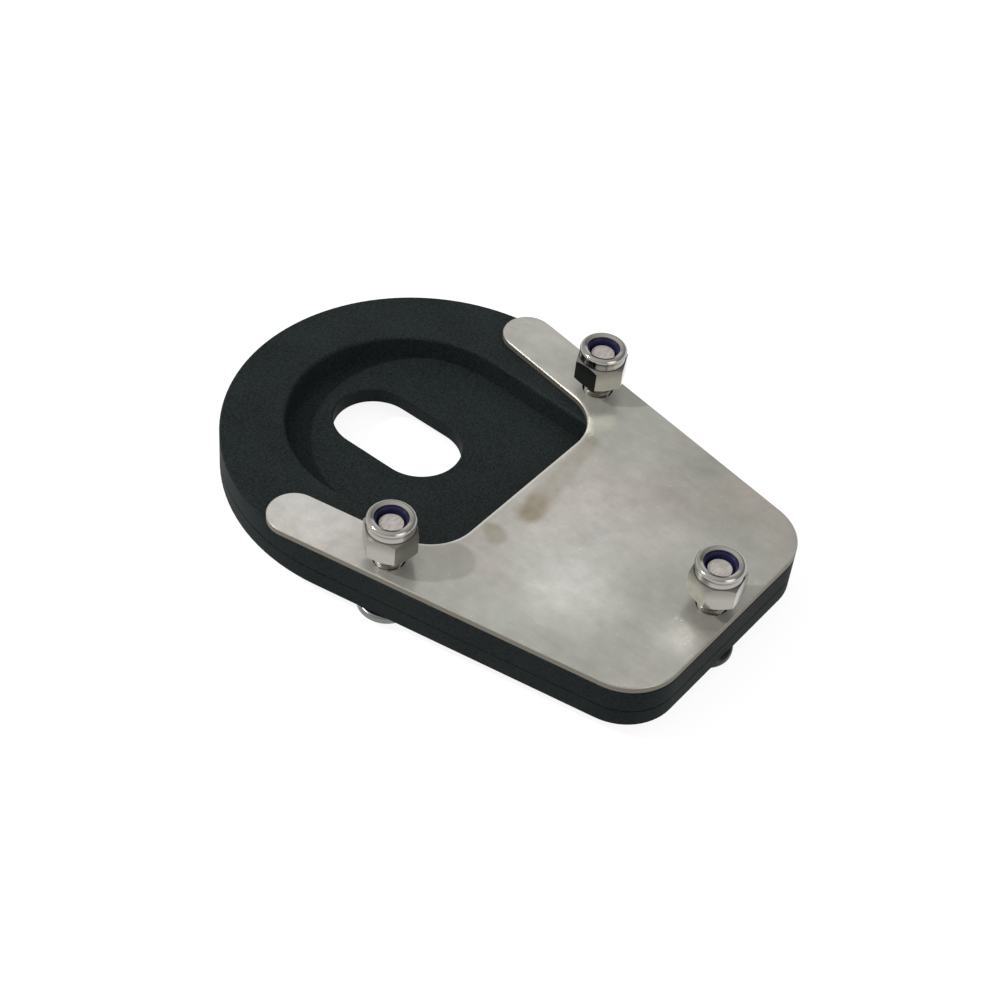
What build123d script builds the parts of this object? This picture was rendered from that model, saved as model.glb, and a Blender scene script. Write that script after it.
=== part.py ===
"""Kickstand foot enlarger: two stacked plates with a pocket for the stand's foot, a fork-shaped clamp plate
over them, and three bolts with lock nuts. The nuts are only run on by hand, so they stand above the clamp plate.

The frame has +X from the round end to the tail, +Y to the left of that and +Z up. The origin is the middle of
the outline, on the ground under the bolt heads. Lengths are millimetres and angles are degrees.
"""
import os
from math import cos, radians, sin, sqrt, tan

from build123d import *

os.makedirs("parts", exist_ok=True)

# Outline shared by the stacked plates: a round end, sides tangent to it that lean in, and a straight tail
round_radius = 42.0
tail_reach = 78.2
side_taper = 10.2
tail_corner_radius = 11.5
plate_edge_break = 0.3

# Sole plate, on the ground side, with a slot that drains the pocket and shows the foot
sole_thickness = 4.0
slot_length = 30.2
slot_width = 17.9
slot_shift = -6.8

# Pocket plate, cut right through so that the sole plate is the pocket's floor
pocket_depth = 5.5
pocket_radius = 26.0
pocket_shift = -3.4
pocket_taper = 2.8
pocket_reach = 47.0
pocket_corner_radius = 8.0
pocket_edge_round = 0.8

# Clamp plate: a fork of sheet whose arms lie on the pocket's side walls and whose web covers the foot's toe
clamp_thickness = 1.6
clamp_edge_break = 0.2
arm_width = 11.2
arm_overrun = 13.9
mouth_reach = 26.7
mouth_corner_radius = 10.9

# Bolt places: the same distance in from the edge on both arms and at the tail
bolt_edge_distance = 5.3
arm_bolt_forward = 13.5
bolt_hole_diameter = 6.6

# Button-head bolts, six millimetre thread
thread_diameter = 6.0
thread_clearance = 0.05
bolt_length = 20.9
tip_chamfer = 0.55
head_diameter = 12.0
head_height = 3.6
head_rim_height = 1.4
dome_radius = 5.5
crown_diameter = 5.8
socket_flats = 4.0
socket_depth = 2.0

# Lock nuts, run on until the bolt's tip is in the nylon, so each stands above the clamp plate
nut_flats = 10.0
nut_height = 8.2
nut_hex_height = 5.6
nut_seat_diameter = 9.4
nut_seat_angle = 30.0
nut_top_angle = 30.0
nut_mouth_chamfer = 0.3
nut_standoff = 3.4
near_nut_turn = 19.0
far_nut_turn = -5.0
tail_nut_turn = 40.0
shoulder_diameter = 9.6
groove_diameter = 9.0
groove_height = 1.3
collar_diameter = 10.0
collar_roll = 0.9
lip_opening_diameter = 6.9
lip_drop = 0.3

# Nylon inserts, held under the nut's rolled lip
insert_diameter = 8.2
insert_height = 1.9
insert_cover = 0.8
insert_clearance = 0.03

# Heights of the stack above the ground
sole_base = head_height
pocket_floor = sole_base + sole_thickness
clamp_base = pocket_floor + pocket_depth
clamp_top = clamp_base + clamp_thickness
nut_base = clamp_top + nut_standoff
insert_top = nut_height - insert_cover
insert_base = insert_top - insert_height

# The round end's centre, in a frame whose origin is the middle of the outline's length
round_centre = (round_radius - tail_reach) / 2
tail_edge = round_centre + tail_reach


def beside(across, forward, side, taper=side_taper, centre=round_centre):
    """Point across a leaning side, square to it from a centre, and forward along it; side is 1 or -1."""
    lean = radians(taper)
    x = centre + across * sin(lean) + forward * cos(lean)
    y = across * cos(lean) - forward * sin(lean)
    return (x, side * y)


def at_length(across, x, side, taper=side_taper, centre=round_centre):
    """Point at a given x on the leaning side that lies across from a centre."""
    lean = radians(taper)
    y = (across - (x - centre) * sin(lean)) / cos(lean)
    return (x, side * y)


def round_ended_profile(radius, centre, taper, end, corner_radius, level):
    """Sketch at a level: a round end, tangent sides that lean in by taper, and a straight end with round corners."""
    with BuildSketch(Plane.XY.offset(level)) as profile:
        with BuildLine():
            Line(beside(radius, 0, 1, taper, centre), at_length(radius, end, 1, taper, centre))
            Line(at_length(radius, end, 1, taper, centre), at_length(radius, end, -1, taper, centre))
            Line(at_length(radius, end, -1, taper, centre), beside(radius, 0, -1, taper, centre))
            ThreePointArc(
                beside(radius, 0, -1, taper, centre),
                (centre - radius, 0),
                beside(radius, 0, 1, taper, centre),
            )
        make_face()
        fillet(profile.vertices().group_by(Axis.X)[-1], corner_radius)
    return profile.sketch


def plate_outline(level):
    """Outline of the sole plate and the pocket plate at a level."""
    return round_ended_profile(round_radius, round_centre, side_taper, tail_edge, tail_corner_radius, level)


bolt_across = round_radius - bolt_edge_distance
near_bolt = beside(bolt_across, arm_bolt_forward, -1)
far_bolt = beside(bolt_across, arm_bolt_forward, 1)
tail_bolt = (tail_edge - bolt_edge_distance, 0)
bolt_places = [near_bolt, far_bolt, tail_bolt]
nut_turns = [near_nut_turn, far_nut_turn, tail_nut_turn]

# Sole plate
with BuildPart() as sole_plate:
    extrude(plate_outline(sole_base), amount=sole_thickness)
    with BuildSketch(Plane.XY.offset(sole_base)):
        with Locations((round_centre + slot_shift, 0)):
            SlotOverall(slot_length, slot_width)
    extrude(amount=sole_thickness, mode=Mode.SUBTRACT)
    ground_side = sole_plate.faces().sort_by(Axis.Z)[0]
    slot_mouth = sole_plate.faces().sort_by(Axis.Z)[-1].inner_wires()
    chamfer(ground_side.edges() + slot_mouth.edges(), plate_edge_break)
    with Locations(*[(x, y, pocket_floor) for x, y in bolt_places]):
        Hole(bolt_hole_diameter / 2, depth=sole_thickness)
sole_plate.part.label = "sole_plate"
export_step(sole_plate.part, "parts/sole_plate.step")

# Pocket plate
pocket_centre = round_centre + pocket_shift
with BuildPart() as pocket_plate:
    extrude(plate_outline(pocket_floor), amount=pocket_depth)
    flat_faces = pocket_plate.faces().filter_by(Axis.Z)
    chamfer(flat_faces.edges(), plate_edge_break)
    pocket = round_ended_profile(
        pocket_radius,
        pocket_centre,
        pocket_taper,
        round_centre + pocket_reach,
        pocket_corner_radius,
        pocket_floor,
    )
    extrude(pocket, amount=pocket_depth, mode=Mode.SUBTRACT)
    pocket_mouth = pocket_plate.faces().sort_by(Axis.Z)[-1].inner_wires()
    fillet(pocket_mouth.edges(), pocket_edge_round)
    with Locations(*[(x, y, clamp_base) for x, y in bolt_places]):
        Hole(bolt_hole_diameter / 2, depth=pocket_depth)
pocket_plate.part.label = "pocket_plate"
export_step(pocket_plate.part, "parts/pocket_plate.step")

# Clamp plate
arm_inner = round_radius - arm_width
arm_middle = round_radius - arm_width / 2
arm_round_start = arm_width / 2 - arm_overrun
mouth_end = round_centre + mouth_reach
with BuildPart() as clamp_plate:
    with BuildSketch(Plane.XY.offset(clamp_base)) as fork:
        with BuildLine():
            Line(at_length(round_radius, tail_edge, -1), at_length(round_radius, tail_edge, 1))
            for side in (1, -1):
                Line(at_length(round_radius, tail_edge, side), beside(round_radius, arm_round_start, side))
                ThreePointArc(
                    beside(round_radius, arm_round_start, side),
                    beside(arm_middle, -arm_overrun, side),
                    beside(arm_inner, arm_round_start, side),
                )
                Line(beside(arm_inner, arm_round_start, side), at_length(arm_inner, mouth_end, side))
            Line(at_length(arm_inner, mouth_end, 1), at_length(arm_inner, mouth_end, -1))
        make_face()
        fillet(fork.vertices().group_by(Axis.X)[-2], mouth_corner_radius)
        fillet(fork.vertices().group_by(Axis.X)[-1], tail_corner_radius)
    extrude(amount=clamp_thickness)
    flat_faces = clamp_plate.faces().filter_by(Axis.Z)
    chamfer(flat_faces.edges(), clamp_edge_break)
    with Locations(*[(x, y, clamp_top) for x, y in bolt_places]):
        Hole(bolt_hole_diameter / 2, depth=clamp_thickness)
clamp_plate.part.label = "clamp_plate"
export_step(clamp_plate.part, "parts/clamp_plate.step")

# Bolts: one turned blank with a hexagon socket, set in each hole
shank_radius = thread_diameter / 2 - thread_clearance
head_radius = head_diameter / 2
bolt_tip = head_height + bolt_length
with BuildPart() as bolt:
    with BuildSketch(Plane.XZ):
        with BuildLine():
            dome_start = (head_radius, head_height - head_rim_height)
            RadiusArc(dome_start, (crown_diameter / 2, 0), dome_radius)
            Polyline(
                (crown_diameter / 2, 0),
                (0, 0),
                (0, bolt_tip),
                (shank_radius - tip_chamfer, bolt_tip),
                (shank_radius, bolt_tip - tip_chamfer),
                (shank_radius, head_height),
                (head_radius, head_height),
                dome_start,
            )
        make_face()
    revolve(axis=Axis.Z)
    with BuildSketch():
        RegularPolygon(socket_flats / 2, side_count=6, major_radius=False)
    extrude(amount=socket_depth, mode=Mode.SUBTRACT)

with BuildPart() as bolts:
    with Locations(*bolt_places):
        add(bolt.part)
bolts.part.label = "bolts"
export_step(bolts.part, "parts/bolts.step")

# Lock nuts: a hexagon whose corners are turned off, a shoulder that narrows to a groove, and a collar that is
# rolled in over the insert
nut_corner_radius = nut_flats / sqrt(3)
seat_rise = tan(radians(nut_seat_angle))
top_fall = tan(radians(nut_top_angle))
seat_radius = nut_seat_diameter / 2
shoulder_radius = shoulder_diameter / 2
groove_radius = groove_diameter / 2
collar_radius = collar_diameter / 2
lip_radius = lip_opening_diameter / 2
bore_radius = thread_diameter / 2
insert_radius = insert_diameter / 2
with BuildPart() as lock_nut:
    with BuildSketch():
        RegularPolygon(nut_flats / 2, side_count=6, major_radius=False)
    extrude(amount=nut_hex_height)
    with BuildSketch(Plane.XZ):
        with BuildLine():
            Polyline(
                (0, 0),
                (seat_radius, 0),
                (nut_corner_radius, (nut_corner_radius - seat_radius) * seat_rise),
                (nut_corner_radius, nut_hex_height - (nut_corner_radius - shoulder_radius) * top_fall),
                (shoulder_radius, nut_hex_height),
                (0, nut_hex_height),
                close=True,
            )
        make_face()
    revolve(axis=Axis.Z, mode=Mode.INTERSECT)
    with BuildSketch(Plane.XZ):
        with BuildLine():
            roll_start = (collar_radius, nut_height - collar_roll)
            roll_top = (collar_radius - collar_roll, nut_height)
            TangentArc(roll_start, roll_top, tangent=(0, 1))
            Polyline(
                roll_top,
                (lip_radius, nut_height - lip_drop),
                (0, nut_height - lip_drop),
                (0, nut_hex_height),
                (shoulder_radius, nut_hex_height),
                (groove_radius, nut_hex_height + groove_height),
                roll_start,
            )
        make_face()
    revolve(axis=Axis.Z)
    with BuildSketch(Plane.XZ):
        with BuildLine():
            Polyline(
                (0, 0),
                (bore_radius + nut_mouth_chamfer, 0),
                (bore_radius, nut_mouth_chamfer),
                (bore_radius, insert_base),
                (insert_radius, insert_base),
                (insert_radius, insert_top),
                (lip_radius, insert_top),
                (lip_radius, nut_height),
                (0, nut_height),
                close=True,
            )
        make_face()
    revolve(axis=Axis.Z, mode=Mode.SUBTRACT)

nut_places = [Location((x, y, nut_base), (0, 0, turn)) for (x, y), turn in zip(bolt_places, nut_turns)]
with BuildPart() as lock_nuts:
    with Locations(*nut_places):
        add(lock_nut.part)
lock_nuts.part.label = "lock_nuts"
export_step(lock_nuts.part, "parts/lock_nuts.step")

# Nylon inserts: plain rings, with the bore that the bolt's tip has formed
with BuildPart() as insert:
    with BuildSketch(Plane.XY.offset(insert_base + insert_clearance)):
        Circle(insert_radius - insert_clearance)
        Circle(bore_radius, mode=Mode.SUBTRACT)
    extrude(amount=insert_height - 2 * insert_clearance)

with BuildPart() as nylon_inserts:
    with Locations(*nut_places):
        add(insert.part)
nylon_inserts.part.label = "nylon_inserts"
export_step(nylon_inserts.part, "parts/nylon_inserts.step")
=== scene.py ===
import math

import bmesh
import bpy
from mathutils import Matrix, Vector


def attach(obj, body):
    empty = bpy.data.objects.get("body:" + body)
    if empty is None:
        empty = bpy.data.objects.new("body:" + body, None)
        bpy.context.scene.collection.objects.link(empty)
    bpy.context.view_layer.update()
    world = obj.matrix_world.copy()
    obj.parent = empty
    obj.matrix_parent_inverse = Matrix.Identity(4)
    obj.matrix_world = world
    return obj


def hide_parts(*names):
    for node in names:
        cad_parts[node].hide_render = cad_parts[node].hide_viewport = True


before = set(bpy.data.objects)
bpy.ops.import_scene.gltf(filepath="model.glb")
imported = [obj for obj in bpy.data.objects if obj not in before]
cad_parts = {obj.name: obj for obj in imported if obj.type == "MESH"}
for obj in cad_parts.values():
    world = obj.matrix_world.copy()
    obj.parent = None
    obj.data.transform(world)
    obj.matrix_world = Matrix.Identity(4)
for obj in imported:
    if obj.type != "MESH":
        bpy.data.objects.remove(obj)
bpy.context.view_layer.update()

scene = bpy.context.scene
scene.view_settings.view_transform = "Standard"

MM = 0.001

# Height of the clamp plate's top and the places of the bolts, in millimetres in the part's frame
CLAMP_TOP = 14.7
BOLT_PLACES = ((1.6857, -33.7293), (1.6857, 33.7293), (54.8, 0.0))


def srgb(code):
    """Linear colour, with alpha, of an sRGB hex code."""
    levels = [int(code[i : i + 2], 16) / 255 for i in (1, 3, 5)]
    linear = [c / 12.92 if c <= 0.04045 else ((c + 0.055) / 1.055) ** 2.4 for c in levels]
    return (*linear, 1.0)


def add_node(tree, kind, inputs=None, **settings):
    """Adds a node with its settings; each input is a value, or another node's socket to link."""
    made = tree.nodes.new(kind)
    for name, value in settings.items():
        setattr(made, name, value)
    for name, value in (inputs or {}).items():
        if isinstance(value, bpy.types.NodeSocket):
            tree.links.new(value, made.inputs[name])
        else:
            made.inputs[name].default_value = value
    return made


def start_material(name):
    """An empty node material, its tree and its output node."""
    material = bpy.data.materials.new(name)
    material.use_nodes = True
    tree = material.node_tree
    tree.nodes.clear()
    return material, tree, tree.nodes.new("ShaderNodeOutputMaterial")


def per_metre(size_mm):
    """Texture scale, per metre, whose features are about size_mm wide."""
    return 1.0 / (size_mm * MM)


# Black coat: widths of its grain and of its clouding, in millimetres, and the clouding's share of the tint
COAT_GRAIN = 0.5
COAT_CLOUD = 14.0
COAT_CLOUD_SHARE = 0.25


def black_powder_coat():
    """Powder-coated aluminium: sprayed and baked, so the eye gets a deep, slightly cool black with a fine
    grain, a soft sheen at the edges and no mirror image."""
    material, tree, output = start_material("black_powder_coat")
    place = add_node(tree, "ShaderNodeTexCoord").outputs["Object"]
    grain = add_node(
        tree,
        "ShaderNodeTexNoise",
        {"Vector": place, "Scale": per_metre(COAT_GRAIN), "Detail": 3.0, "Roughness": 0.6},
    )
    cloud = add_node(
        tree,
        "ShaderNodeTexNoise",
        {"Vector": place, "Scale": per_metre(COAT_CLOUD), "Detail": 2.0, "Roughness": 0.5},
    )
    both = add_node(
        tree,
        "ShaderNodeMath",
        {0: cloud.outputs["Fac"], 1: COAT_CLOUD_SHARE, 2: grain.outputs["Fac"]},
        operation="MULTIPLY_ADD",
    )
    tint = add_node(tree, "ShaderNodeValToRGB", {"Fac": both.outputs[0]})
    tint.color_ramp.elements[0].position = 0.4
    tint.color_ramp.elements[0].color = srgb("#131718")
    tint.color_ramp.elements[1].position = 0.85
    tint.color_ramp.elements[1].color = srgb("#2b3130")
    sheen = add_node(
        tree,
        "ShaderNodeMapRange",
        {"Value": grain.outputs["Fac"], "To Min": 0.5, "To Max": 0.68},
    )
    relief = add_node(
        tree,
        "ShaderNodeBump",
        {"Height": grain.outputs["Fac"], "Strength": 0.25, "Distance": 0.05 * MM},
    )
    surface = add_node(
        tree,
        "ShaderNodeBsdfPrincipled",
        {
            "Base Color": tint.outputs["Color"],
            "Roughness": sheen.outputs["Result"],
            "Normal": relief.outputs["Normal"],
            "Specular IOR Level": 0.045,
        },
    )
    tree.links.new(surface.outputs["BSDF"], output.inputs["Surface"])
    return material


# Dried stains on the sheet, beside the mouth's closed edge: start, end and half widths in millimetres, and
# strength
STAINS = (
    ((14.0, -5.0), (10.8, 19.2), 3.2, 1.8, 1.0),
    ((12.0, -14.2), (13.4, -15.4), 2.6, 2.2, 0.6),
)

# How far a stain stays strong from where it starts, in millimetres, and the share of its strength past that
STAIN_HEAD = 8.0
STAIN_TAIL_SHARE = 0.42

# How far a stain's rim wanders and how wide each wander is, in millimetres
STAIN_WANDER = 1.6
STAIN_WANDER_WIDTH = 5.0

# Where a stain's rim fades out and where it is full, as shares of its half width
STAIN_RIM = (1.25, 0.45)

# A noise colour's middle value, taken off so that it moves a place both ways
NOISE_MIDDLE = (0.5, 0.5, 0.5)


def stain_mask(tree, place, start, end, start_width, end_width, strength):
    """Mask of a dried run of liquid on the sheet, strongest where it starts and fading to where it ends,
    with a soft rim. Points and half widths are in millimetres."""
    along = Vector(end) - Vector(start)
    wander = add_node(
        tree,
        "ShaderNodeTexNoise",
        {"Vector": place, "Scale": per_metre(STAIN_WANDER_WIDTH), "Detail": 2.0},
    )
    shift = add_node(
        tree,
        "ShaderNodeVectorMath",
        {0: wander.outputs["Color"], 1: NOISE_MIDDLE},
        operation="SUBTRACT",
    )
    shift = add_node(
        tree,
        "ShaderNodeVectorMath",
        {0: shift.outputs[0], "Scale": STAIN_WANDER * MM},
        operation="SCALE",
    )
    moved = add_node(tree, "ShaderNodeVectorMath", {0: place, 1: shift.outputs[0]}, operation="ADD")
    flat = add_node(tree, "ShaderNodeVectorMath", {0: moved.outputs[0], 1: (1, 1, 0)}, operation="MULTIPLY")
    local = add_node(
        tree,
        "ShaderNodeVectorMath",
        {0: flat.outputs[0], 1: Vector((*start, 0)) * MM},
        operation="SUBTRACT",
    )
    reach = add_node(
        tree,
        "ShaderNodeVectorMath",
        {0: local.outputs[0], 1: Vector((*along, 0)) / (along.length_squared * MM)},
        operation="DOT_PRODUCT",
    )
    share = add_node(tree, "ShaderNodeClamp", {"Value": reach.outputs["Value"]})
    spine = add_node(
        tree,
        "ShaderNodeVectorMath",
        {0: Vector((*along, 0)) * MM, "Scale": share.outputs[0]},
        operation="SCALE",
    )
    off = add_node(
        tree,
        "ShaderNodeVectorMath",
        {0: local.outputs[0], 1: spine.outputs[0]},
        operation="DISTANCE",
    )
    width = add_node(
        tree,
        "ShaderNodeMapRange",
        {"Value": share.outputs[0], "To Min": start_width * MM, "To Max": end_width * MM},
    )
    depth = add_node(
        tree,
        "ShaderNodeMath",
        {0: off.outputs["Value"], 1: width.outputs["Result"]},
        operation="DIVIDE",
    )
    fading = add_node(
        tree,
        "ShaderNodeMapRange",
        {
            "Value": share.outputs[0],
            "From Max": STAIN_HEAD / along.length,
            "To Min": strength,
            "To Max": STAIN_TAIL_SHARE * strength,
        },
        interpolation_type="SMOOTHSTEP",
    )
    rim_start, rim_full = STAIN_RIM
    rim = add_node(
        tree,
        "ShaderNodeMapRange",
        {
            "Value": depth.outputs[0],
            "From Min": rim_start,
            "From Max": rim_full,
            "To Max": fading.outputs["Result"],
        },
        interpolation_type="SMOOTHSTEP",
    )
    dried = add_node(
        tree,
        "ShaderNodeMapRange",
        {"Value": wander.outputs["Fac"], "From Min": 0.35, "From Max": 0.65, "To Min": 0.6},
    )
    patchy = add_node(
        tree,
        "ShaderNodeMath",
        {0: rim.outputs["Result"], 1: dried.outputs["Result"]},
        operation="MULTIPLY",
    )
    return patchy.outputs[0]


# The mouth's closed edge, along whose rim a pale line is painted as a painted highlight: the centre and
# radius of its round corner at one side, how far from the edge the line fades out and is full, all in
# millimetres, and its strength
MOUTH_CORNER = (-2.3, 17.38)
MOUTH_CORNER_RADIUS = 10.9
MOUTH_HIGHLIGHT_REACH = (0.8, 0.2)
MOUTH_HIGHLIGHT_STRENGTH = 0.6


def mouth_edge_highlight_mask(tree, place):
    """Mask of a painted highlight along the mouth's closed edge and round its corners."""
    parts = add_node(tree, "ShaderNodeSeparateXYZ", {"Vector": place})
    aside = add_node(tree, "ShaderNodeMath", {0: parts.outputs["Y"]}, operation="ABSOLUTE")
    folded = add_node(tree, "ShaderNodeCombineXYZ", {"X": parts.outputs["X"], "Y": aside.outputs[0]})
    local = add_node(
        tree,
        "ShaderNodeVectorMath",
        {0: folded.outputs[0], 1: Vector((*MOUTH_CORNER, 0)) * MM},
        operation="SUBTRACT",
    )
    outward = add_node(
        tree,
        "ShaderNodeVectorMath",
        {0: local.outputs[0], 1: (0, 0, 0)},
        operation="MAXIMUM",
    )
    reach = add_node(tree, "ShaderNodeVectorMath", {0: outward.outputs[0]}, operation="LENGTH")
    start, full = ((MOUTH_CORNER_RADIUS + step) * MM for step in MOUTH_HIGHLIGHT_REACH)
    rim = add_node(
        tree,
        "ShaderNodeMapRange",
        {
            "Value": reach.outputs["Value"],
            "From Min": start,
            "From Max": full,
            "To Max": MOUTH_HIGHLIGHT_STRENGTH,
        },
        interpolation_type="SMOOTHSTEP",
    )
    return rim.outputs["Result"]


# Widths of the patterns in the sheet's skin, in millimetres. Real rolling lines are finer: they are drawn
# as coarse as they need to be to show in the render, and stretched along the sheet
SHEET_CLOUD = 22.0
SHEET_MOTTLE = 3.5
SHEET_CAST = 30.0
ROLLING_LINE = 0.6
ROLLING_STRETCH = (0.06, 1, 1)

# Shares of the mottling and of the rolling lines in the sheet's shade
MOTTLE_SHARE = 0.36
ROLLING_SHARE = 0.2

# Painted shade: the sheet is painted darker towards one corner, standing in for less light falling there:
# the way there, and where along it that starts and is full, in millimetres
SHADE_WAY = (0.6, 0.8, 0.0)
SHADE_RANGE = (12.0, 48.0)

# Places painted brighter as painted highlights, standing in for light reflected off the sheet: centre and
# reach in millimetres, and strength
PAINTED_HIGHLIGHTS = (
    ((-15.0, -37.0), 26.0, 0.8),
    ((32.0, -16.5), 15.0, 0.75),
    ((56.3, -11.9), 6.5, 0.75),
    ((22.0, 2.0), 28.0, 0.5),
    ((-18.0, 37.0), 18.0, 0.3),
)

# Roughness that the laser adds on the sheet's cut edges
CUT_ROUGHNESS = 0.3


def satin_stainless_sheet():
    """Cold-rolled stainless sheet with a dull, pickled skin: it scatters part of the light, so the eye gets
    a cloudy warm grey with blurred images, brown stains where liquid dried, and dark laser-cut edges whose
    darkness is partly oxide and partly painted shade. Painted highlights brighten a few places and the
    mouth's closed edge, and painted shade darkens one corner."""
    material, tree, output = start_material("satin_stainless_sheet")
    place = add_node(tree, "ShaderNodeTexCoord").outputs["Object"]
    cloud = add_node(
        tree,
        "ShaderNodeTexNoise",
        {"Vector": place, "Scale": per_metre(SHEET_CLOUD), "Detail": 5.0, "Roughness": 0.6},
    )
    mottle = add_node(
        tree,
        "ShaderNodeTexNoise",
        {"Vector": place, "Scale": per_metre(SHEET_MOTTLE), "Detail": 4.0, "Roughness": 0.65},
    )
    drawn_out = add_node(tree, "ShaderNodeVectorMath", {0: place, 1: ROLLING_STRETCH}, operation="MULTIPLY")
    rolling_lines = add_node(
        tree,
        "ShaderNodeTexNoise",
        {
            "Vector": drawn_out.outputs[0],
            "Scale": per_metre(ROLLING_LINE),
            "Detail": 2.0,
            "Roughness": 0.6,
        },
    )
    shade = add_node(
        tree,
        "ShaderNodeMath",
        {0: mottle.outputs["Fac"], 1: MOTTLE_SHARE, 2: cloud.outputs["Fac"]},
        operation="MULTIPLY_ADD",
    )
    shade = add_node(
        tree,
        "ShaderNodeMath",
        {0: rolling_lines.outputs["Fac"], 1: ROLLING_SHARE, 2: shade.outputs[0]},
        operation="MULTIPLY_ADD",
    )
    tint = add_node(tree, "ShaderNodeValToRGB", {"Fac": shade.outputs[0]})
    tint.color_ramp.elements[0].position = 0.47
    tint.color_ramp.elements[0].color = srgb("#9d9993")
    tint.color_ramp.elements[1].position = 1.0
    tint.color_ramp.elements[1].color = srgb("#c3c0ba")
    patch = add_node(
        tree,
        "ShaderNodeTexNoise",
        {"Vector": place, "Scale": per_metre(SHEET_CAST), "Detail": 2.0, "Distortion": 0.6},
    )
    cast = add_node(tree, "ShaderNodeValToRGB", {"Fac": patch.outputs["Fac"]})
    cast.color_ramp.elements[0].position = 0.38
    cast.color_ramp.elements[0].color = srgb("#fef9f7")
    cast.color_ramp.elements[1].position = 0.62
    cast.color_ramp.elements[1].color = srgb("#f8fdf9")
    tinted = add_node(
        tree,
        "ShaderNodeMix",
        {"Factor": 1.0, "A": tint.outputs["Color"], "B": cast.outputs["Color"]},
        data_type="RGBA",
        blend_type="MULTIPLY",
    )
    across = add_node(tree, "ShaderNodeVectorMath", {0: place, 1: SHADE_WAY}, operation="DOT_PRODUCT")
    shade_start, shade_full = (step * MM for step in SHADE_RANGE)
    painted_shade = add_node(
        tree,
        "ShaderNodeMapRange",
        {"Value": across.outputs["Value"], "From Min": shade_start, "From Max": shade_full},
        interpolation_type="SMOOTHSTEP",
    )
    # Painted shade: the sheet darker towards its far corner
    skin = add_node(
        tree,
        "ShaderNodeMix",
        {"Factor": painted_shade.outputs["Result"], "A": tinted.outputs["Result"], "B": srgb("#f4f4f2")},
        data_type="RGBA",
        blend_type="MULTIPLY",
    ).outputs["Result"]
    uneven = add_node(
        tree,
        "ShaderNodeMapRange",
        {"Value": mottle.outputs["Fac"], "From Min": 0.3, "From Max": 0.7, "To Min": 0.37, "To Max": 0.63},
    )
    # Painted highlights: pale patches where the sheet catches reflected light
    for centre, reach, strength in PAINTED_HIGHLIGHTS:
        apart = add_node(
            tree,
            "ShaderNodeVectorMath",
            {0: place, 1: Vector((*centre, CLAMP_TOP)) * MM},
            operation="DISTANCE",
        )
        painted_highlight = add_node(
            tree,
            "ShaderNodeMapRange",
            {"Value": apart.outputs["Value"], "From Min": reach * MM, "From Max": 0.0, "To Max": strength},
            interpolation_type="SMOOTHSTEP",
        )
        patchy = add_node(
            tree,
            "ShaderNodeMath",
            {0: painted_highlight.outputs["Result"], 1: uneven.outputs["Result"]},
            operation="MULTIPLY",
        )
        skin = add_node(
            tree,
            "ShaderNodeMix",
            {"Factor": patchy.outputs[0], "A": skin, "B": srgb("#fffbf6")},
            data_type="RGBA",
        ).outputs["Result"]
    for stain in STAINS:
        skin = add_node(
            tree,
            "ShaderNodeMix",
            {"Factor": stain_mask(tree, place, *stain), "A": skin, "B": srgb("#8e8368")},
            data_type="RGBA",
        ).outputs["Result"]
    # Painted highlight along the mouth's closed edge
    skin = add_node(
        tree,
        "ShaderNodeMix",
        {"Factor": mouth_edge_highlight_mask(tree, place), "A": skin, "B": srgb("#f4f2e6")},
        data_type="RGBA",
    ).outputs["Result"]
    facing = add_node(tree, "ShaderNodeNewGeometry").outputs["True Normal"]
    upright = add_node(tree, "ShaderNodeSeparateXYZ", {"Vector": facing}).outputs["Z"]
    level = add_node(tree, "ShaderNodeMath", {0: upright}, operation="ABSOLUTE").outputs[0]
    cut = add_node(
        tree,
        "ShaderNodeMapRange",
        {"Value": level, "From Min": 0.95, "From Max": 0.45},
    ).outputs["Result"]
    # Edge faces and chamfers painted darker: partly the laser cut's oxide, partly painted shade
    skin = add_node(
        tree,
        "ShaderNodeMix",
        {"Factor": cut, "A": skin, "B": srgb("#7a756b")},
        data_type="RGBA",
    ).outputs["Result"]
    haze = add_node(
        tree,
        "ShaderNodeMapRange",
        {"Value": mottle.outputs["Fac"], "To Min": 0.18, "To Max": 0.32},
    )
    haze = add_node(
        tree,
        "ShaderNodeMath",
        {0: cut, 1: CUT_ROUGHNESS, 2: haze.outputs["Result"]},
        operation="MULTIPLY_ADD",
    )
    relief = add_node(
        tree,
        "ShaderNodeBump",
        {"Height": rolling_lines.outputs["Fac"], "Strength": 0.1, "Distance": 0.02 * MM},
    )
    surface = add_node(
        tree,
        "ShaderNodeBsdfPrincipled",
        {
            "Base Color": skin,
            "Metallic": 0.55,
            "Roughness": haze.outputs[0],
            "Normal": relief.outputs["Normal"],
        },
    )
    tree.links.new(surface.outputs["BSDF"], output.inputs["Surface"])
    return material


# Width of the scuffs on the bright steel, in millimetres
SCUFF_WIDTH = 0.8

# Painted shade on the lock nuts' faces, darker towards the shoulder: its height and how far below it that
# reaches, in millimetres, and strength
SHOULDER_HEIGHT = 23.7
FACE_SHADE_REACH = 3.2
FACE_SHADE_STRENGTH = 0.45

# Painted shade in lines round each lock nut, at its shoulder's foot and in its groove: height and half width
# in millimetres, and strength
NUT_SHADE_LINES = ((SHOULDER_HEIGHT, 0.2), (25.05, 0.65))
NUT_SHADE_STRENGTH = 0.85

# Painted shade on the bolts' heads under the plate: the height up to which the steel is painted darker and
# how far that fades, in millimetres, and the roughness added there
HEAD_SHADE_HEIGHT = 3.6
HEAD_SHADE_FADE = 0.2
HEAD_ROUGHNESS = 0.1

# Place along the part beyond which the bolt's head is painted darker still, as painted shade on the side
# away from the key lamp, in millimetres
TAIL_HEAD_SHADE_FROM = 48.0


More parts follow.
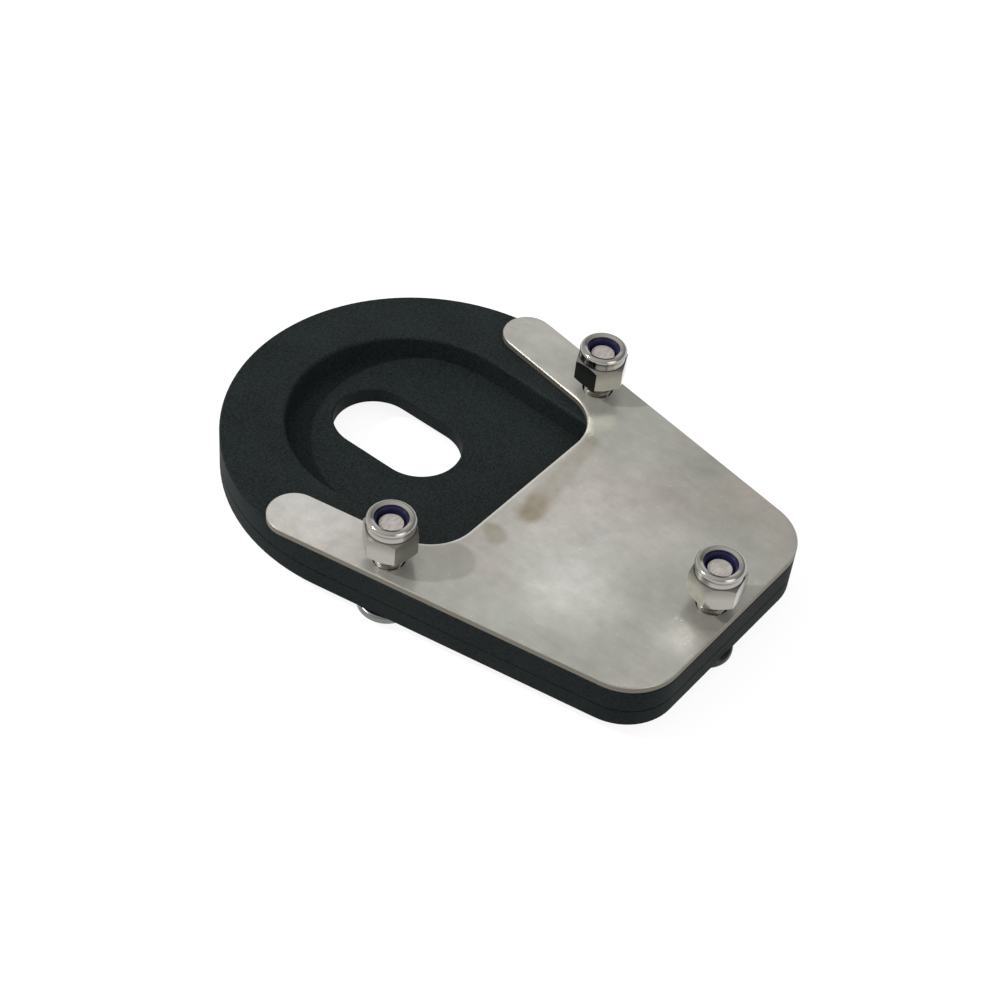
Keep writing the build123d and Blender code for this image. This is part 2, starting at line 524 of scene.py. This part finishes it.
def bright_stainless_steel():
    """Cold-formed, tumbled stainless steel: bright and smooth, with clear highlights and slightly soft
    images. Painted shade darkens the hex faces towards the shoulder, lines in the recesses and the bolts'
    heads under the plate, most of all the tail's head."""
    material, tree, output = start_material("bright_stainless_steel")
    place = add_node(tree, "ShaderNodeTexCoord").outputs["Object"]
    scuff = add_node(
        tree,
        "ShaderNodeTexNoise",
        {"Vector": place, "Scale": per_metre(SCUFF_WIDTH), "Detail": 4.0, "Roughness": 0.6},
    )
    parts = add_node(tree, "ShaderNodeSeparateXYZ", {"Vector": place})
    height = parts.outputs["Z"]
    low = add_node(
        tree,
        "ShaderNodeMapRange",
        {
            "Value": height,
            "From Min": (HEAD_SHADE_HEIGHT + HEAD_SHADE_FADE) * MM,
            "From Max": HEAD_SHADE_HEIGHT * MM,
        },
    )
    # Painted shade: the bolts' heads darker under the plate
    skin = add_node(
        tree,
        "ShaderNodeMix",
        {"Factor": low.outputs["Result"], "A": srgb("#a5a29c"), "B": srgb("#787b78")},
        data_type="RGBA",
    ).outputs["Result"]
    beyond = add_node(
        tree,
        "ShaderNodeMath",
        {0: parts.outputs["X"], 1: TAIL_HEAD_SHADE_FROM * MM},
        operation="GREATER_THAN",
    )
    tail_head_shade = add_node(
        tree,
        "ShaderNodeMath",
        {0: low.outputs["Result"], 1: beyond.outputs[0]},
        operation="MULTIPLY",
    )
    # Painted shade: the tail's bolt head darker still
    skin = add_node(
        tree,
        "ShaderNodeMix",
        {"Factor": tail_head_shade.outputs[0], "A": skin, "B": srgb("#353836")},
        data_type="RGBA",
    ).outputs["Result"]
    toward_shoulder = add_node(
        tree,
        "ShaderNodeMapRange",
        {
            "Value": height,
            "From Min": (SHOULDER_HEIGHT - FACE_SHADE_REACH) * MM,
            "From Max": SHOULDER_HEIGHT * MM,
            "To Max": FACE_SHADE_STRENGTH,
        },
        interpolation_type="SMOOTHSTEP",
    )
    below = add_node(tree, "ShaderNodeMath", {0: height, 1: SHOULDER_HEIGHT * MM}, operation="LESS_THAN")
    painted_shade = add_node(
        tree,
        "ShaderNodeMath",
        {0: toward_shoulder.outputs["Result"], 1: below.outputs[0]},
        operation="MULTIPLY",
    )
    # Painted shade: the hex faces darker towards the shoulder
    skin = add_node(
        tree,
        "ShaderNodeMix",
        {"Factor": painted_shade.outputs[0], "A": skin, "B": srgb("#4b4842")},
        data_type="RGBA",
    ).outputs["Result"]
    for line_height, half_width in NUT_SHADE_LINES:
        away = add_node(tree, "ShaderNodeMath", {0: height, 1: line_height * MM}, operation="SUBTRACT")
        away = add_node(tree, "ShaderNodeMath", {0: away.outputs[0]}, operation="ABSOLUTE")
        shade_line = add_node(
            tree,
            "ShaderNodeMapRange",
            {
                "Value": away.outputs[0],
                "From Min": half_width * MM,
                "From Max": 0.0,
                "To Max": NUT_SHADE_STRENGTH,
            },
            interpolation_type="SMOOTHSTEP",
        )
        # Painted shade in the nut's recess
        skin = add_node(
            tree,
            "ShaderNodeMix",
            {"Factor": shade_line.outputs["Result"], "A": skin, "B": srgb("#3d3a37")},
            data_type="RGBA",
        ).outputs["Result"]
    shine = add_node(
        tree,
        "ShaderNodeMapRange",
        {"Value": scuff.outputs["Fac"], "To Min": 0.08, "To Max": 0.2},
    )
    shine = add_node(
        tree,
        "ShaderNodeMath",
        {0: low.outputs["Result"], 1: HEAD_ROUGHNESS, 2: shine.outputs["Result"]},
        operation="MULTIPLY_ADD",
    )
    relief = add_node(
        tree,
        "ShaderNodeBump",
        {"Height": scuff.outputs["Fac"], "Strength": 0.12, "Distance": 0.03 * MM},
    )
    surface = add_node(
        tree,
        "ShaderNodeBsdfPrincipled",
        {
            "Base Color": skin,
            "Metallic": 1.0,
            "Roughness": shine.outputs[0],
            "Normal": relief.outputs["Normal"],
        },
    )
    tree.links.new(surface.outputs["BSDF"], output.inputs["Surface"])
    return material


# Width of the streaks on a sheared end, in millimetres, and their stretch across the part. Real ones are
# finer: they are drawn as coarse as they need to be to show in the render
SHEAR_STREAK = 0.5
SHEAR_STRETCH = (1, 0.25, 1)


def sheared_steel_end():
    """Stainless wire sheared to length: the cut scatters the light, so a bolt's end is pale, matte and
    streaked."""
    material, tree, output = start_material("sheared_steel_end")
    place = add_node(tree, "ShaderNodeTexCoord").outputs["Object"]
    drawn_out = add_node(tree, "ShaderNodeVectorMath", {0: place, 1: SHEAR_STRETCH}, operation="MULTIPLY")
    streak = add_node(
        tree,
        "ShaderNodeTexNoise",
        {
            "Vector": drawn_out.outputs[0],
            "Scale": per_metre(SHEAR_STREAK),
            "Detail": 4.0,
            "Roughness": 0.65,
        },
    )
    tint = add_node(tree, "ShaderNodeValToRGB", {"Fac": streak.outputs["Fac"]})
    tint.color_ramp.elements[0].position = 0.35
    tint.color_ramp.elements[0].color = srgb("#b3aba4")
    tint.color_ramp.elements[1].position = 0.7
    tint.color_ramp.elements[1].color = srgb("#d8d2cb")
    relief = add_node(
        tree,
        "ShaderNodeBump",
        {"Height": streak.outputs["Fac"], "Strength": 0.3, "Distance": 0.05 * MM},
    )
    surface = add_node(
        tree,
        "ShaderNodeBsdfPrincipled",
        {
            "Base Color": tint.outputs["Color"],
            "Metallic": 0.6,
            "Roughness": 0.5,
            "Normal": relief.outputs["Normal"],
        },
    )
    tree.links.new(surface.outputs["BSDF"], output.inputs["Surface"])
    return material


# Width of the flow marks in the nylon, in millimetres
NYLON_FLOW = 0.9


def navy_nylon():
    """Moulded nylon: the eye gets a dense dark blue with a soft gloss."""
    material, tree, output = start_material("navy_nylon")
    place = add_node(tree, "ShaderNodeTexCoord").outputs["Object"]
    flow = add_node(
        tree,
        "ShaderNodeTexNoise",
        {"Vector": place, "Scale": per_metre(NYLON_FLOW), "Detail": 2.0},
    )
    tint = add_node(tree, "ShaderNodeValToRGB", {"Fac": flow.outputs["Fac"]})
    tint.color_ramp.elements[0].position = 0.3
    tint.color_ramp.elements[0].color = srgb("#131232")
    tint.color_ramp.elements[1].position = 0.7
    tint.color_ramp.elements[1].color = srgb("#1e1d48")
    surface = add_node(
        tree,
        "ShaderNodeBsdfPrincipled",
        {"Base Color": tint.outputs["Color"], "Roughness": 0.5, "Specular IOR Level": 0.3},
    )
    tree.links.new(surface.outputs["BSDF"], output.inputs["Surface"])
    return material


coat = black_powder_coat()
sheet = satin_stainless_sheet()
bright = bright_stainless_steel()
sheared = sheared_steel_end()
nylon = navy_nylon()
for node, finish in (
    ("sole_plate", coat),
    ("pocket_plate", coat),
    ("clamp_plate", sheet),
    ("lock_nuts", bright),
    ("nylon_inserts", nylon),
):
    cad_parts[node].material_slots[0].material = finish

# Threaded bolts, in millimetres: the head of the solid, and a rolled thread instead of its plain shank
HEAD_HEIGHT = 3.6
HEAD_RIM = 1.4
HEAD_RADIUS = 6.0
HEAD_EDGE_ROUND = 0.7
CROWN_RADIUS = 2.9
DOME_RADIUS = 5.5
SOCKET_FLATS = 4.0
SOCKET_DEPTH = 2.0
DRILL_POINT_DEPTH = 0.6
TIP_HEIGHT = 24.5
TIP_RADIUS = 2.4
CREST_RADIUS = 2.95
ROOT_RADIUS = 2.4
PITCH = 1.0

# Widths of the thread's flat crest and root, as shares of its pitch
CREST_SHARE = 0.125
ROOT_SHARE = 0.25

# Points round a bolt, steps of its head's dome and of its rounded edge, and turns of thread past its length
SPOKES = 72
DOME_STEPS = 10
EDGE_STEPS = 5
SPARE_TURNS = 3

# Points nearer than the first length are joined, and edges shorter than the second closed, in millimetres
JOIN_DISTANCE = 1e-4
CLOSE_DISTANCE = 1e-5

# A bolt's tip is what faces up, at least this much, within this many millimetres of its top
TIP_FACING = 0.99
TIP_SLACK = 0.01

# Edges sharper than this many degrees stay sharp
SHARP_ANGLE = 35


def ring(radius, z):
    """Points of a circle at a height, one per spoke."""
    turns = [2 * math.pi * j / SPOKES for j in range(SPOKES)]
    return [(radius * math.cos(t), radius * math.sin(t), z) for t in turns]


def hexagon(flats, z):
    """Points of a hexagon at a height, one per spoke, with a corner on +X."""
    points = []
    for j in range(SPOKES):
        turn = 2 * math.pi * j / SPOKES
        off_flat = (turn % (math.pi / 3)) - math.pi / 6
        reach = flats / 2 / math.cos(off_flat)
        points.append((reach * math.cos(turn), reach * math.sin(turn), z))
    return points


def add_loops(mesh, loops):
    """Skins a row of loops of equal length, and returns the rows of vertices."""
    rows = [[mesh.verts.new(point) for point in loop] for loop in loops]
    for low, high in zip(rows, rows[1:]):
        for j in range(SPOKES):
            k = (j + 1) % SPOKES
            mesh.faces.new((low[j], low[k], high[k], high[j]))
    return rows


def dome_loops():
    """Rings of the button head's dome, from its flat crown up to the rim."""
    crown = Vector((CROWN_RADIUS, 0.0))
    rim = Vector((HEAD_RADIUS, HEAD_HEIGHT - HEAD_RIM))
    chord = rim - crown
    inward = Vector((-chord.y, chord.x)).normalized()
    centre = (crown + rim) / 2 + inward * math.sqrt(DOME_RADIUS**2 - chord.length_squared / 4)
    first = math.atan2(crown.y - centre.y, crown.x - centre.x)
    last = math.atan2(rim.y - centre.y, rim.x - centre.x)
    loops = []
    for step in range(DOME_STEPS + 1):
        angle = first + (last - first) * step / DOME_STEPS
        radius = centre.x + DOME_RADIUS * math.cos(angle)
        loops.append(ring(radius, centre.y + DOME_RADIUS * math.sin(angle)))
    return loops


def edge_loops():
    """Rings of the head's rounded upper edge, from its side to its seat."""
    loops = []
    for step in range(EDGE_STEPS + 1):
        angle = math.pi / 2 * step / EDGE_STEPS
        inset = HEAD_EDGE_ROUND * (1 - math.cos(angle))
        drop = HEAD_EDGE_ROUND * (1 - math.sin(angle))
        loops.append(ring(HEAD_RADIUS - inset, HEAD_HEIGHT - drop))
    return loops


def add_thread(mesh):
    """Rolled thread from the head's seat to the chamfered tip, as one helical skin."""
    profile = (
        (-CREST_SHARE / 2, CREST_RADIUS),
        (CREST_SHARE / 2, CREST_RADIUS),
        (0.5 - ROOT_SHARE / 2, ROOT_RADIUS),
        (0.5 + ROOT_SHARE / 2, ROOT_RADIUS),
    )
    # One turn starts below the seat and the last ones end past the tip, so that both ends close flat
    turns = int((TIP_HEIGHT - HEAD_HEIGHT) / PITCH) + SPARE_TURNS
    rows = []
    for turn in range(turns):
        for offset, radius in profile:
            row = []
            for j in range(SPOKES):
                angle = 2 * math.pi * j / SPOKES
                z = HEAD_HEIGHT + (turn - 1 + offset + j / SPOKES) * PITCH
                reach = min(radius, TIP_RADIUS + max(TIP_HEIGHT - z, 0.0))
                if z <= HEAD_HEIGHT:
                    z, reach = HEAD_HEIGHT, ROOT_RADIUS
                if z >= TIP_HEIGHT:
                    z, reach = TIP_HEIGHT, TIP_RADIUS
                row.append(mesh.verts.new((reach * math.cos(angle), reach * math.sin(angle), z)))
            rows.append(row)
    per_turn = len(profile)
    last = SPOKES - 1
    for k in range(len(rows) - 1):
        for j in range(last):
            mesh.faces.new((rows[k][j], rows[k][j + 1], rows[k + 1][j + 1], rows[k + 1][j]))
        if k + 1 + per_turn < len(rows):
            mesh.faces.new(
                (rows[k][last], rows[k + per_turn][0], rows[k + 1 + per_turn][0], rows[k + 1][last])
            )


def threaded_bolt():
    """One bolt, standing on its head at the origin, in metres."""
    mesh = bmesh.new()
    head = [hexagon(SOCKET_FLATS, SOCKET_DEPTH), hexagon(SOCKET_FLATS, 0.0)]
    head += dome_loops() + edge_loops()
    head += [ring(ROOT_RADIUS, HEAD_HEIGHT)]
    rows = add_loops(mesh, head)
    drill_point = mesh.verts.new((0, 0, SOCKET_DEPTH + DRILL_POINT_DEPTH))
    for j in range(SPOKES):
        mesh.faces.new((rows[0][(j + 1) % SPOKES], rows[0][j], drill_point))
    add_thread(mesh)
    bmesh.ops.remove_doubles(mesh, verts=mesh.verts, dist=JOIN_DISTANCE)
    bmesh.ops.dissolve_degenerate(mesh, edges=mesh.edges, dist=CLOSE_DISTANCE)
    tip_edges = [e for e in mesh.edges if e.is_boundary]
    bmesh.ops.contextual_create(mesh, geom=tip_edges)
    bmesh.ops.recalc_face_normals(mesh, faces=mesh.faces)
    bmesh.ops.scale(mesh, vec=(MM, MM, MM), verts=mesh.verts)
    data = bpy.data.meshes.new("threaded_bolt")
    mesh.to_mesh(data)
    mesh.free()
    return data


def make_bolts():
    """The three bolts, as one piece in the place of the solids."""
    one = threaded_bolt()
    mesh = bmesh.new()
    for x, y in BOLT_PLACES:
        copy = one.copy()
        copy.transform(Matrix.Translation((x * MM, y * MM, 0)))
        mesh.from_mesh(copy)
        bpy.data.meshes.remove(copy)
    bpy.data.meshes.remove(one)
    data = bpy.data.meshes.new("threaded_bolts")
    mesh.to_mesh(data)
    mesh.free()
    for face in data.polygons:
        face.use_smooth = True
        if face.normal.z > TIP_FACING and face.center.z > (TIP_HEIGHT - TIP_SLACK) * MM:
            face.material_index = 1
    data.set_sharp_from_angle(angle=math.radians(SHARP_ANGLE))
    data.materials.append(bright)
    data.materials.append(sheared)
    piece = bpy.data.objects.new("threaded_bolts", data)
    scene.collection.objects.link(piece)
    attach(piece, "root")
    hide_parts("bolts")


make_bolts()


def way(azimuth, elevation):
    """Unit vector towards an azimuth, from +X, and an elevation, both in degrees."""
    turn, rise = math.radians(azimuth), math.radians(elevation)
    return Vector((math.cos(turn) * math.cos(rise), math.sin(turn) * math.cos(rise), math.sin(rise)))


# The photograph's camera: its way from the target and its roll in degrees, its distance and target in
# millimetres, and its lens in pixels of a square picture
CAMERA_AZIMUTH = -55.85
CAMERA_ELEVATION = 45.3
CAMERA_ROLL = 6.61
CAMERA_DISTANCE = 431.45
CAMERA_TARGET = (1.514, 2.174, 3.9)
FOCAL_PIXELS = 2082.72
PICTURE_PIXELS = 1000


def make_camera():
    """Camera at the photograph's place, for a square picture."""
    back = way(CAMERA_AZIMUTH, CAMERA_ELEVATION)
    right = way(CAMERA_AZIMUTH + 90, 0)
    up = back.cross(right)
    roll = math.radians(CAMERA_ROLL)
    across = right * math.cos(roll) + up * math.sin(roll)
    above = up * math.cos(roll) - right * math.sin(roll)
    data = bpy.data.cameras.new("camera")
    data.sensor_width = 36.0
    data.lens = data.sensor_width * FOCAL_PIXELS / PICTURE_PIXELS
    data.clip_start = 0.01
    data.clip_end = 20.0
    camera = bpy.data.objects.new("camera", data)
    turn = Matrix((across, above, back)).transposed().to_4x4()
    stand = (Vector(CAMERA_TARGET) + back * CAMERA_DISTANCE) * MM
    camera.matrix_world = Matrix.Translation(stand) @ turn
    scene.collection.objects.link(camera)
    scene.camera = camera


make_camera()


def seen_directly(tree):
    """Mask of the rays that show the background as it looks: the camera's own, and those off metal or
    through glass."""
    path = add_node(tree, "ShaderNodeLightPath")
    seen = path.outputs["Is Camera Ray"]
    for kind in ("Is Glossy Ray", "Is Transmission Ray"):
        seen = add_node(
            tree,
            "ShaderNodeMath",
            {0: seen, 1: path.outputs[kind]},
            operation="MAXIMUM",
        ).outputs[0]
    return seen


# Half the floor's side in metres, and how far it is lifted towards white where it is seen directly
FLOOR_HALF_SIDE = 8.0
FLOOR_LIFT = 0.88


def make_floor():
    """Pale floor that looks white to the camera and in the metal, and still takes the shadow."""
    material, tree, output = start_material("pale_floor")
    lift = add_node(tree, "ShaderNodeMath", {0: seen_directly(tree), 1: FLOOR_LIFT}, operation="MULTIPLY")
    matte = add_node(tree, "ShaderNodeBsdfDiffuse", {"Color": srgb("#7c7c7c")})
    glow = add_node(tree, "ShaderNodeEmission", {"Color": srgb("#ffffff"), "Strength": lift.outputs[0]})
    both = add_node(tree, "ShaderNodeAddShader", {0: matte.outputs[0], 1: glow.outputs[0]})
    tree.links.new(both.outputs[0], output.inputs["Surface"])
    mesh = bmesh.new()
    bmesh.ops.create_grid(mesh, x_segments=1, y_segments=1, size=FLOOR_HALF_SIDE)
    data = bpy.data.meshes.new("floor")
    mesh.to_mesh(data)
    mesh.free()
    data.materials.append(material)
    floor = bpy.data.objects.new("floor", data)
    scene.collection.objects.link(floor)


make_floor()

# Key lamp: azimuth, elevation and width in degrees, and strength
KEY_AZIMUTH = -140.6
KEY_ELEVATION = 43.0
KEY_WIDTH = 3.0
KEY_STRENGTH = 1.75

# How strongly the sky brightens towards the key lamp's side, and how strongly upwards
SKY_LEAN = 0.34
SKY_RISE = 0.6

# Windows on the right: azimuth and elevation in degrees, the cosines of the angles from the middle at which
# each fades out and is full, and its strength
WINDOWS = (
    (-14.0, 6.0, 0.88, 0.985, 1.5),
    (-5.0, 40.0, 0.93, 0.98, 2.0),
)

# Heights, as sines of the elevation, at which the pale backdrop fades out and is full
BACKDROP_EDGE = (0.45, 0.28)


def make_light():
    """Soft light from above and the left, windows on the right, a pale backdrop all round and a key lamp."""
    world = bpy.data.worlds.new("studio")
    scene.world = world
    world.use_nodes = True
    tree = world.node_tree
    tree.nodes.clear()
    place = add_node(tree, "ShaderNodeTexCoord").outputs["Generated"]
    lit_way = way(KEY_AZIMUTH, 0) * SKY_LEAN + Vector((0, 0, SKY_RISE))
    lit = add_node(tree, "ShaderNodeVectorMath", {0: place, 1: lit_way}, operation="DOT_PRODUCT")
    sky = add_node(
        tree,
        "ShaderNodeMapRange",
        {"Value": lit.outputs["Value"], "From Min": -0.2, "From Max": 0.8, "To Min": 0.02, "To Max": 1.0},
    )
    light = sky.outputs["Result"]
    for azimuth, elevation, edge, full, strength in WINDOWS:
        nearness = add_node(
            tree,
            "ShaderNodeVectorMath",
            {0: place, 1: way(azimuth, elevation)},
            operation="DOT_PRODUCT",
        )
        window = add_node(
            tree,
            "ShaderNodeMapRange",
            {"Value": nearness.outputs["Value"], "From Min": edge, "From Max": full, "To Max": strength},
            interpolation_type="SMOOTHSTEP",
        )
        light = add_node(
            tree,
            "ShaderNodeMath",
            {0: light, 1: window.outputs["Result"]},
            operation="ADD",
        ).outputs[0]
    height = add_node(tree, "ShaderNodeSeparateXYZ", {"Vector": place}).outputs["Z"]
    fade_out, fully_there = BACKDROP_EDGE
    backdrop = add_node(
        tree,
        "ShaderNodeMapRange",
        {"Value": height, "From Min": fade_out, "From Max": fully_there},
        interpolation_type="SMOOTHSTEP",
    )
    backdrop = add_node(
        tree,
        "ShaderNodeMath",
        {0: backdrop.outputs["Result"], 1: seen_directly(tree)},
        operation="MULTIPLY",
    )
    level = add_node(tree, "ShaderNodeMath", {0: light, 1: backdrop.outputs[0]}, operation="MAXIMUM")
    background = add_node(
        tree,
        "ShaderNodeBackground",
        {"Color": srgb("#ffffff"), "Strength": level.outputs[0]},
    )
    output = tree.nodes.new("ShaderNodeOutputWorld")
    tree.links.new(background.outputs[0], output.inputs["Surface"])
    data = bpy.data.lights.new("key", "SUN")
    data.energy = KEY_STRENGTH
    data.angle = math.radians(KEY_WIDTH)
    key = bpy.data.objects.new("key", data)
    key.rotation_mode = "QUATERNION"
    key.rotation_quaternion = way(KEY_AZIMUTH, KEY_ELEVATION).to_track_quat("Z", "Y")
    scene.collection.objects.link(key)


make_light()
